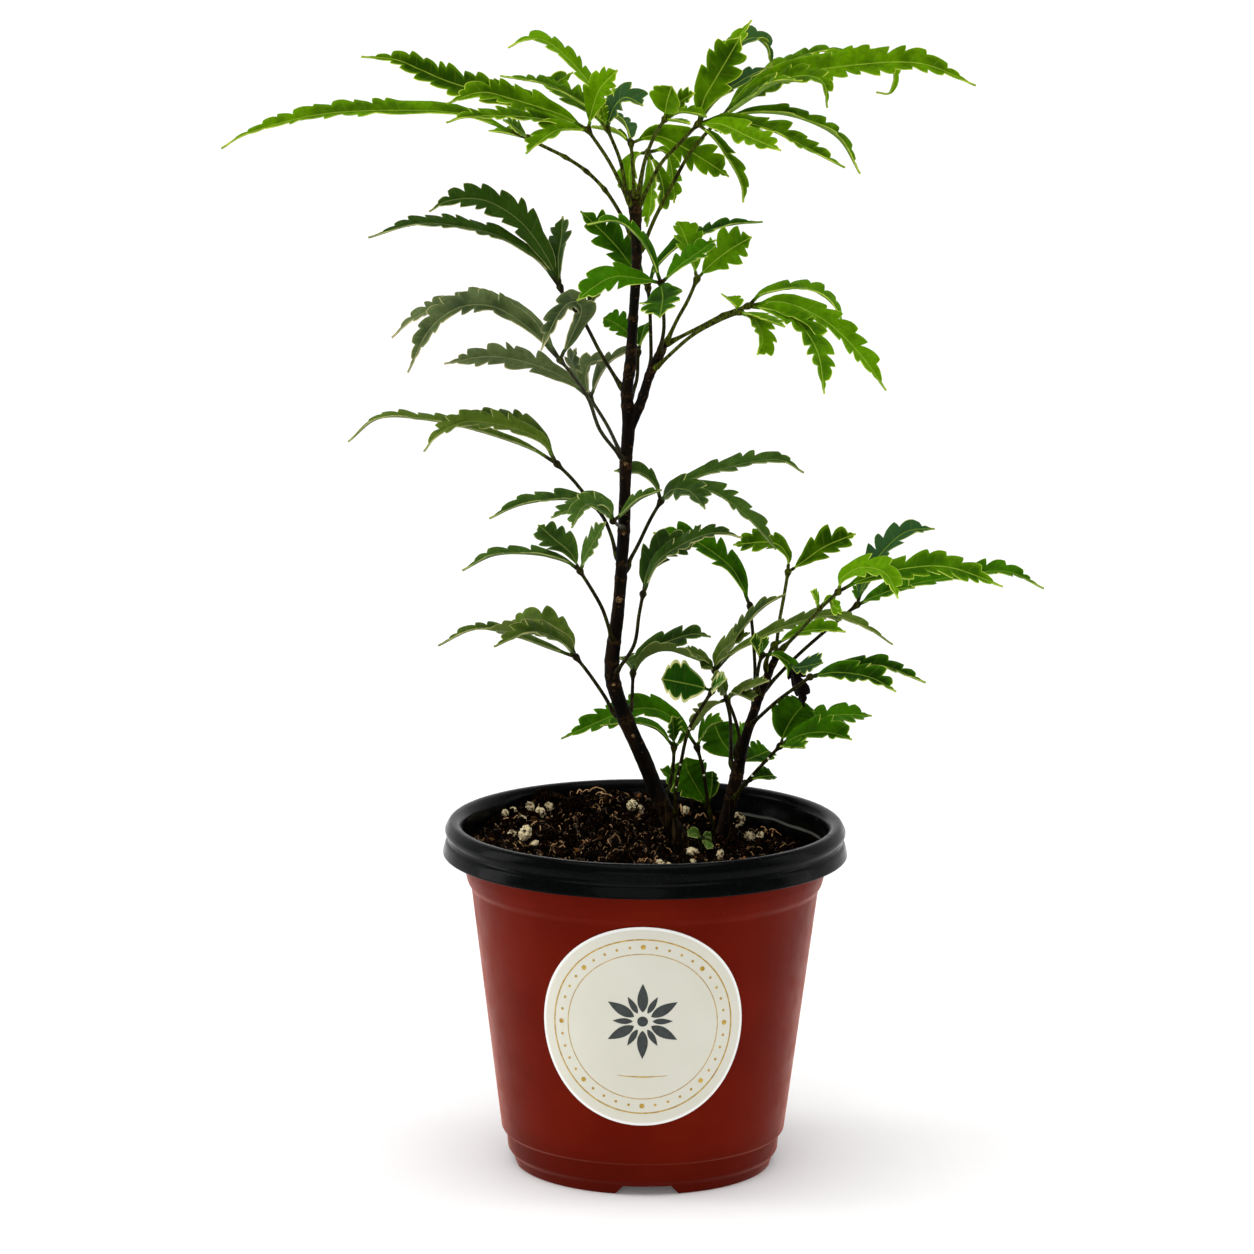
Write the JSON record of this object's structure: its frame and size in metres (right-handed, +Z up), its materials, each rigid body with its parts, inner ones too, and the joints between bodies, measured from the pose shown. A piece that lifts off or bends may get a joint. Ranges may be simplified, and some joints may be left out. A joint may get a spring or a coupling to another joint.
{
  "type": "potted false aralia plant",
  "caption": "Upright foliage plant with slender saw-toothed leaflets on thin dark stems, growing in a round tapered nursery pot with a rolled rim and a round sticker.",
  "frame": {"origin": "on the pot's centre line, at the level of the foot ring that it stands on", "axes": "+Z up, along the pot's centre line; -Y to the front, where the sticker is; +X to the right as seen from the front, the side where the second stem leans out"},
  "size_m": [0.2052, 0.1011, 0.2834],
  "materials": {
    "pot_plastic": "satin",
    "potting_soil": "matte",
    "sticker_paper": "satin",
    "stem_bark": "satin",
    "young_leaf": "satin",
    "mature_leaf": "satin",
    "old_leaf": "satin"
  },
  "bodies": {
    "root": {"pot": "pot_plastic", "soil": "potting_soil", "sticker": "sticker_paper", "main_stem": "stem_bark", "second_stem": "stem_bark", "crown_leaf_1": "young_leaf", "crown_leaf_2": "young_leaf", "crown_leaf_3": "young_leaf", "crown_leaf_4": "young_leaf", "crown_leaf_5": "young_leaf", "crown_leaf_6": "young_leaf", "crown_leaf_7": "young_leaf", "crown_leaf_8": "young_leaf", "branch_leaf_3": "young_leaf", "branch_leaf_4": "young_leaf", "branch_leaf_5": "young_leaf", "seedling": "young_leaf", "second_leaf_4": "young_leaf", "second_leaf_7": "young_leaf", "branch_leaf_1": "mature_leaf", "branch_leaf_2": "mature_leaf", "right_leaf_1": "mature_leaf", "right_leaf_3": "mature_leaf", "base_leaf_1": "mature_leaf", "base_leaf_2": "mature_leaf", "soil_leaf_1": "mature_leaf", "soil_leaf_2": "mature_leaf", "second_leaf_3": "mature_leaf", "second_leaf_5": "mature_leaf", "second_leaf_6": "mature_leaf", "second_leaf_8": "mature_leaf", "second_leaf_9": "mature_leaf", "second_leaf_10": "mature_leaf", "second_leaf_11": "mature_leaf", "second_leaf_12": "mature_leaf", "left_leaf_1": "old_leaf", "left_leaf_2": "old_leaf", "left_leaf_3": "old_leaf", "left_leaf_4": "old_leaf", "left_leaf_5": "old_leaf", "left_leaf_6": "old_leaf", "left_leaf_7": "old_leaf", "right_leaf_2": "old_leaf", "right_leaf_4": "old_leaf", "second_leaf_1": "old_leaf", "second_leaf_2": "old_leaf"}
  },
  "joints": []
}
